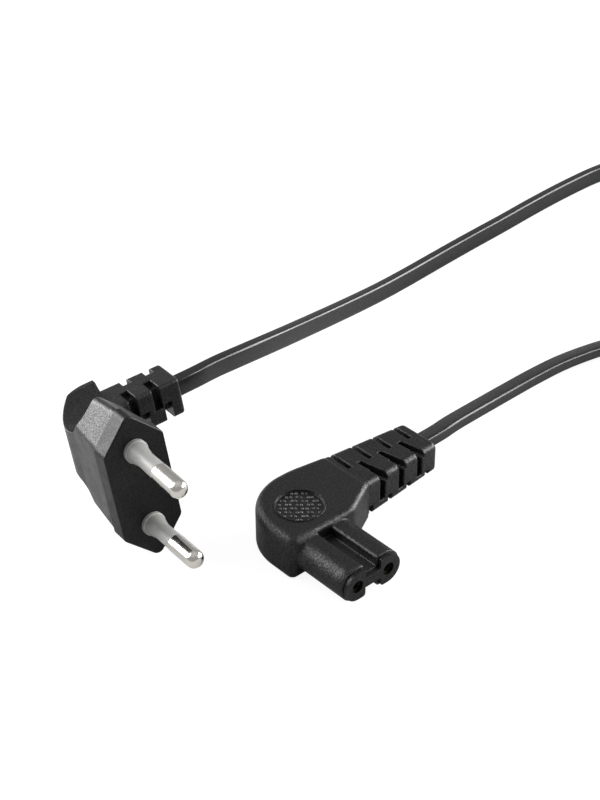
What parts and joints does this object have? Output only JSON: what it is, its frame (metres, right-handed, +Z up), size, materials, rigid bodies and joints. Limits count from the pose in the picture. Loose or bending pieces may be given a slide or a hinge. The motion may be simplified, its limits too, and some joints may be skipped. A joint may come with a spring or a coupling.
{
  "type": "figure eight power lead",
  "caption": "Mains lead with an angled figure-eight connector, flat twin cord and an angled flat plug with part-sleeved pins.",
  "frame": {"origin": "bottom centre of the figure-eight connector", "axes": "+Z up from the table, -Y out of the connector's sockets, +X the way its cord leaves"},
  "size_m": [0.2535, 0.1048, 0.0347],
  "materials": {
    "connector_shell": "satin moulded PVC",
    "carrier": "satin",
    "contact": "drawn",
    "wire_blue": "gloss",
    "wire_brown": "gloss",
    "cord_sheath": "gloss PVC sheath",
    "tie": "matte",
    "plug_shell": "satin moulded PVC",
    "plug_plate": "satin",
    "pin_metal": "bright nickel plate",
    "pin_sleeve": "milky insulation"
  },
  "bodies": {
    "root": {"connector_body": "connector_shell", "contact_carrier": "carrier", "contact_left": "contact", "contact_right": "contact", "connector_core_blue": "wire_blue", "connector_core_brown": "wire_brown", "cord_at_connector": "cord_sheath", "cord_coil": "cord_sheath", "coil_tie": "tie", "cord_at_plug": "cord_sheath", "plug_housing": "plug_shell", "plug_front_plate": "plug_plate", "pin_upper": "pin_metal", "pin_lower": "pin_metal", "pin_sleeve_upper": "pin_sleeve", "pin_sleeve_lower": "pin_sleeve", "plug_core_blue": "wire_blue", "plug_core_brown": "wire_brown"}
  },
  "joints": []
}
